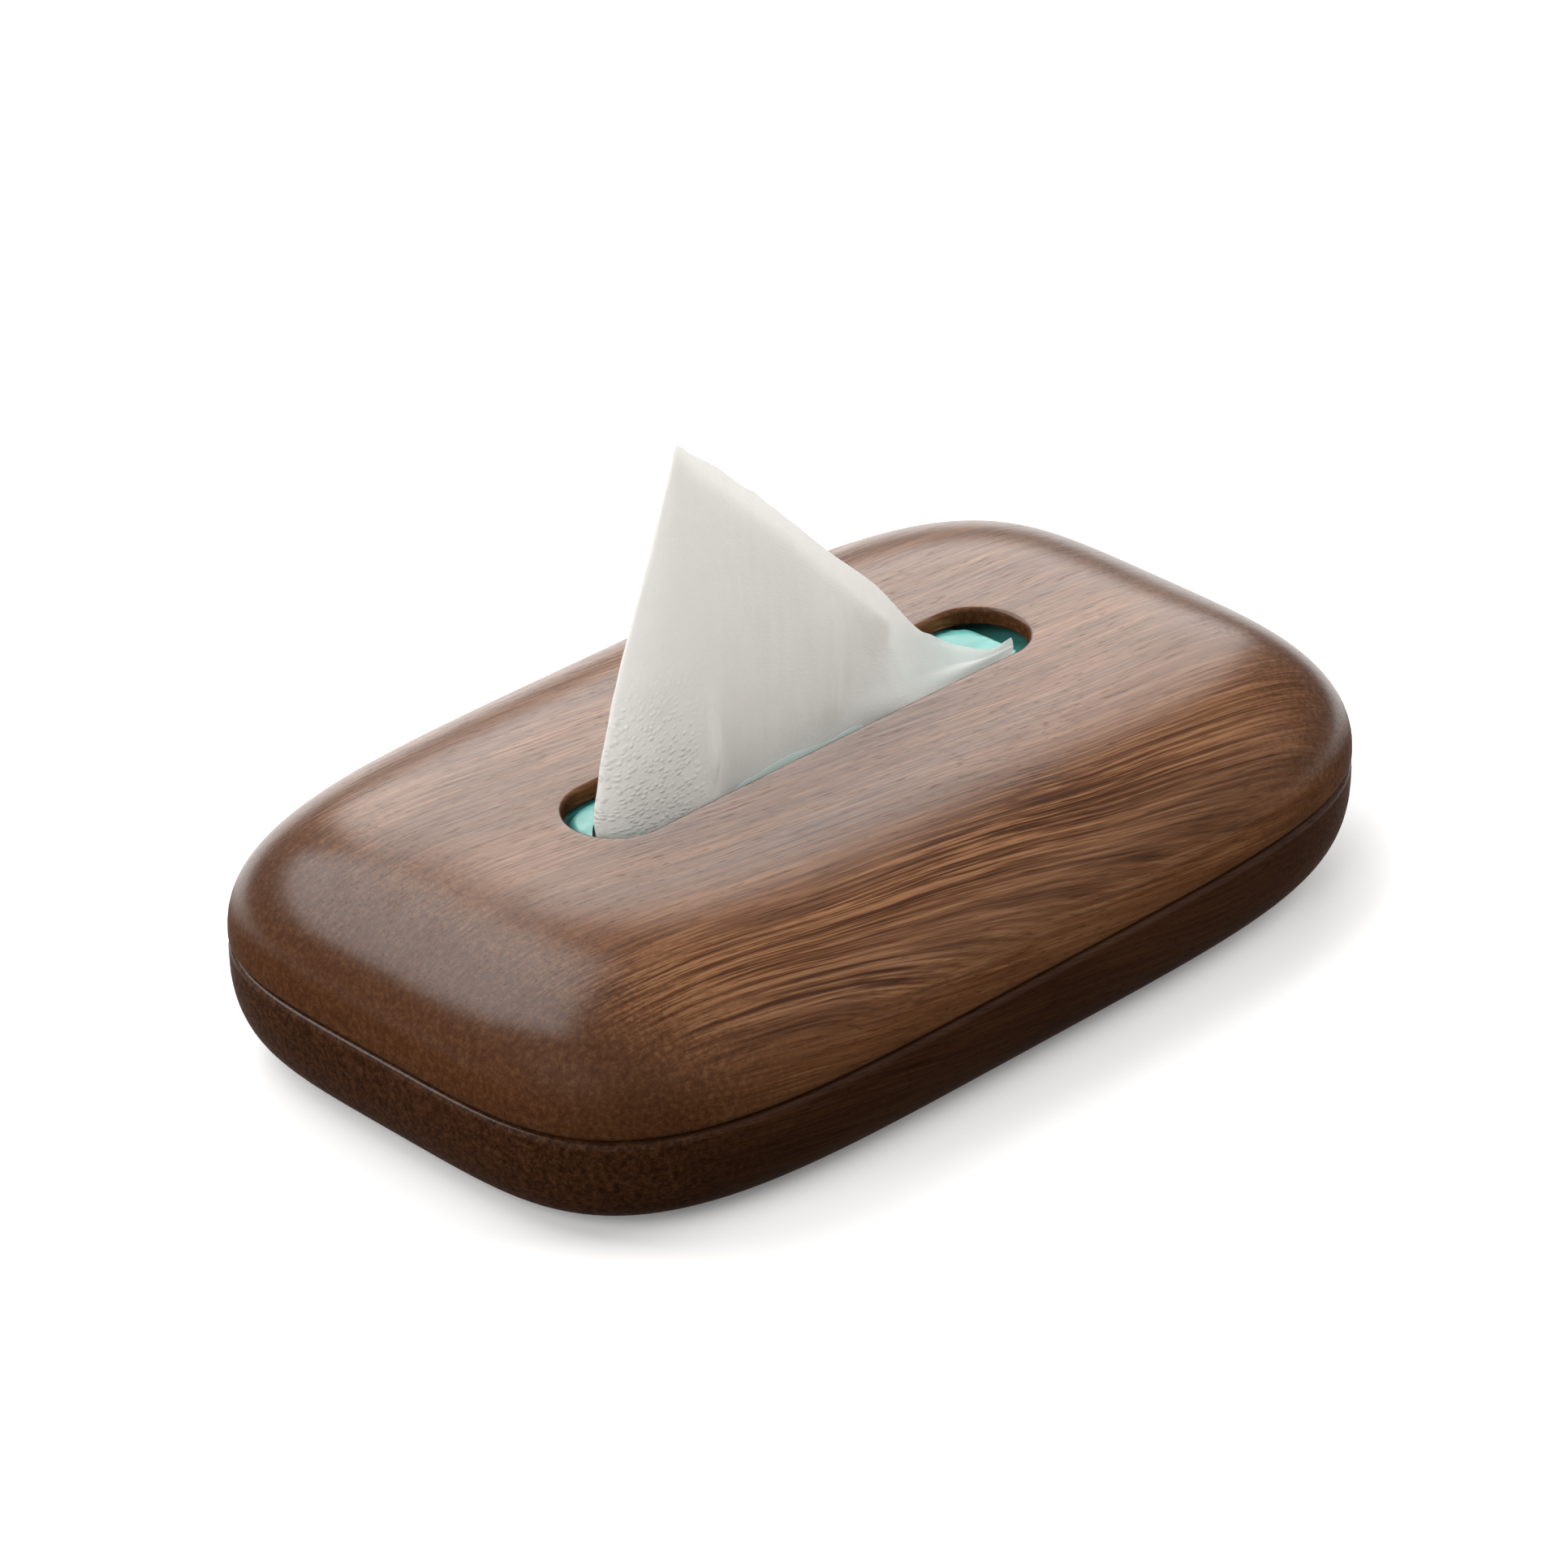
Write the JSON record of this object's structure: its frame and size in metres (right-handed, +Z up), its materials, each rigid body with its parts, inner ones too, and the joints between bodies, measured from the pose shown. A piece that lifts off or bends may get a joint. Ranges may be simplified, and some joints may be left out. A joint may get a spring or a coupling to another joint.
{
  "type": "tissue box cover",
  "caption": "Low pebble-shaped wooden tissue case: slotted lift-off cover on a tray, holding a soft refill pack with a tissue pulled up through the slot.",
  "frame": {"origin": "on the table under the middle of the case", "axes": "+X along the case and its slot, +Z up, +Y across the case"},
  "size_m": [0.235, 0.144, 0.1266],
  "materials": {
    "walnut": "satin",
    "nickel": "polished",
    "silicone": "matte",
    "mint_film": "gloss",
    "folded_tissue": "matte",
    "tissue": "matte"
  },
  "bodies": {
    "base": {"base_tray": "walnut", "tray_magnet_1": "nickel", "tray_magnet_2": "nickel", "tray_magnet_3": "nickel", "tray_magnet_4": "nickel", "foot_pad_1": "silicone", "foot_pad_2": "silicone", "foot_pad_3": "silicone", "foot_pad_4": "silicone", "refill_wrapper": "mint_film", "tissue_stack": "folded_tissue"},
    "cover": {"upper_cover": "walnut", "cover_magnet_1": "nickel", "cover_magnet_2": "nickel", "cover_magnet_3": "nickel", "cover_magnet_4": "nickel"},
    "tissue": {"pulled_tissue": "tissue"}
  },
  "joints": [
    {"name": "cover_lift", "type": "slide", "parent": "base", "child": "cover", "axis": [0, 0, 1], "range_m": [0, 0.13]},
    {"name": "tissue_pull", "type": "slide", "parent": "base", "child": "tissue", "axis": [0, 0, 1], "range_m": [0, 0.06]}
  ]
}
